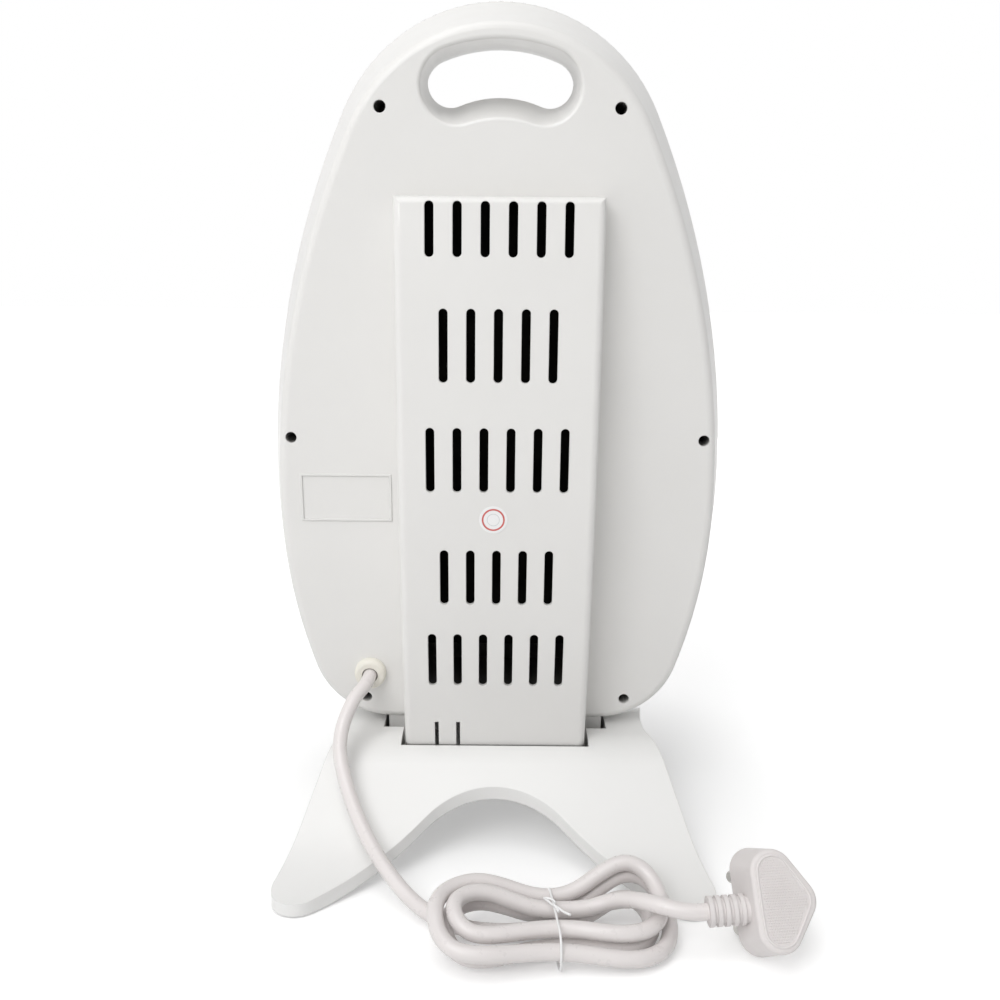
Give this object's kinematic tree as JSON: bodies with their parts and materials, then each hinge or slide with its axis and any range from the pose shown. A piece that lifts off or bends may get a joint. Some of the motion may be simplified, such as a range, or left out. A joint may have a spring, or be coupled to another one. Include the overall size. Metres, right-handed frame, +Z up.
{
  "type": "quartz_heater",
  "caption": "Free-standing quartz room heater with an egg-shaped white housing, vented rear spine, splayed base, tied mains cord and round-pin plug, seen from the back.",
  "frame": {"origin": "centre of the base on the floor, under the bounding box of the heater without its free cord", "axes": "+Z up, -Y towards the front (glowing side), +Y towards the back with the vent spine, +X to the left seen from the back"},
  "size_m": [0.303, 0.3006, 0.4894],
  "materials": {
    "housing_white": "satin, slightly warm off-white moulding",
    "base_white": "satin white moulding",
    "foot_rubber": "matt black pads",
    "zinc_steel": "zinc-plated steel",
    "guard_chrome": "chromed wire",
    "reflector_metal": "bright sheet",
    "quartz": "milky quartz glass",
    "coil_wire": "oxidised resistance wire",
    "ceramic": null,
    "terminal_plastic": "ivory moulding",
    "wire_sleeve": "glass-sleeved wire",
    "switch_black": "black moulding",
    "rocker_red": "red moulding",
    "plunger_plastic": "white moulding",
    "grommet_ivory": "ivory soft plastic",
    "clamp_plastic": "white moulding",
    "cord_grey": "satin light pinkish-grey sheath",
    "tie_white": "coated wire",
    "plug_grey": "fine-grained light pinkish-grey moulding",
    "pin_chrome": "nickel-plated brass"
  },
  "bodies": {
    "housing": {"base_feet": "foot_rubber", "base_stand": "base_white", "case_screws": "zinc_steel", "clamp_screws": "zinc_steel", "cord_clamp": "clamp_plastic", "cord_grommet": "grommet_ivory", "earth_pin": "pin_chrome", "front_bezel": "housing_white", "front_grille": "guard_chrome", "heating_coil_left": "coil_wire", "heating_coil_right": "coil_wire", "internal_wiring": "wire_sleeve", "live_pin": "pin_chrome", "lower_ceramic_cap_left": "ceramic", "lower_ceramic_cap_right": "ceramic", "lower_tube_bracket": "zinc_steel", "neutral_pin": "pin_chrome", "plug_body": "plug_grey", "power_cord_hank": "cord_grey", "power_cord_inner_end": "cord_grey", "power_cord_lead": "cord_grey", "power_cord_tail": "cord_grey", "quartz_tube_left": "quartz", "quartz_tube_right": "quartz", "rear_cover": "housing_white", "reflector": "reflector_metal", "reflector_screws": "zinc_steel", "switch_body_left": "switch_black", "switch_body_right": "switch_black", "terminal_block": "terminal_plastic", "thermal_cutout": "zinc_steel", "tip_switch_body": "switch_black", "twist_tie": "tie_white", "upper_ceramic_cap_left": "ceramic", "upper_ceramic_cap_right": "ceramic", "upper_tube_bracket": "zinc_steel"},
    "left_rocker": {"rocker_left": "rocker_red"},
    "right_rocker": {"rocker_right": "rocker_red"},
    "tip_plunger": {"tip_switch_plunger": "plunger_plastic"}
  },
  "joints": [
    {"name": "left_rocker_hinge", "type": "hinge", "parent": "housing", "child": "left_rocker", "pos_m": [0.02, -0.06701, 0.09864], "axis": [1, 0, 0], "range_deg": [0, 18]},
    {"name": "right_rocker_hinge", "type": "hinge", "parent": "housing", "child": "right_rocker", "pos_m": [-0.02, -0.06701, 0.09864], "axis": [1, 0, 0], "range_deg": [0, 18]},
    {"name": "tip_plunger_slide", "type": "slide", "parent": "housing", "child": "tip_plunger", "axis": [0, -0.1045, -0.9945], "range_m": [0, 0.006], "stiffness_N_per_m": 20, "springref_m": 0.006}
  ]
}
